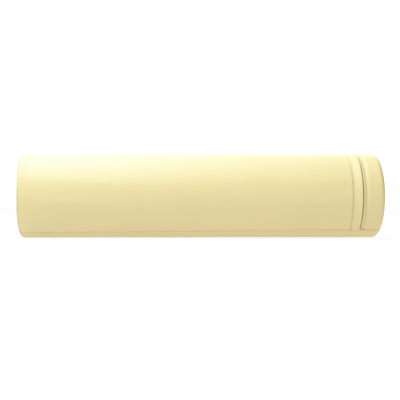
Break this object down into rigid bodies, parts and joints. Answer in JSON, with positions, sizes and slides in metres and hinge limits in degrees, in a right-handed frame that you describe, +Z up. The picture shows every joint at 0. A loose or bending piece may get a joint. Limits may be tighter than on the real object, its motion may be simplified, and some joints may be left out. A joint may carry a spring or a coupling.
{
  "type": "bolster pillow",
  "caption": "Round massage-table bolster with a foam core, a narrow flat base and a pale yellow leatherette cover that zips open over the top near one end.",
  "frame": {"origin": "on the floor under the middle of the roll's bounding box", "axes": "+X along the roll towards the zipped end, -Y towards the front, +Z up"},
  "size_m": [0.66, 0.1612, 0.1581],
  "materials": {
    "cover": "smooth leatherette, soft satin",
    "thread": "twisted polyester thread",
    "foam": "open-cell polyurethane foam",
    "wadding": "polyester fibre wrap",
    "liner": "knitted polyester",
    "zip_tape": "woven tape",
    "zip_teeth": "nylon, satin",
    "zip_stop": "nickel, satin",
    "zip_metal": "nickel, satin"
  },
  "bodies": {
    "bolster": {"foam_core": "foam", "fibre_wrap": "wadding", "fibre_end_left": "wadding", "fibre_end_right": "wadding", "liner_tube": "liner", "liner_end_left": "liner", "liner_end_right": "liner", "top_panel": "cover", "base_panel": "cover", "end_panel_left": "cover", "end_panel_right": "cover", "end_band": "cover", "zip_lap": "cover", "seam_thread_front": "thread", "seam_thread_rear": "thread", "lap_stitching": "thread", "band_stitching": "thread", "end_seam_thread_left": "thread", "end_seam_thread_right": "thread", "zip_tape_cover_side": "zip_tape", "zip_tape_end_side": "zip_tape", "zip_teeth_cover_side": "zip_teeth", "zip_teeth_end_side": "zip_teeth", "zip_stops_closed_end": "zip_stop", "zip_stop_open_end": "zip_stop"},
    "slider": {"zip_slider": "zip_metal"},
    "pull": {"zip_pull": "zip_metal"}
  },
  "joints": [
    {"name": "slider_travel", "type": "hinge", "parent": "bolster", "child": "slider", "pos_m": [0.2886, 0, 0.0775], "axis": [1, 0, 0], "range_deg": [0, 266.5]},
    {"name": "pull_swing", "type": "hinge", "parent": "slider", "child": "pull", "pos_m": [0.2886, 0.0595, 0.02151], "axis": [1, 0, 0], "range_deg": [-40, 133]}
  ]
}
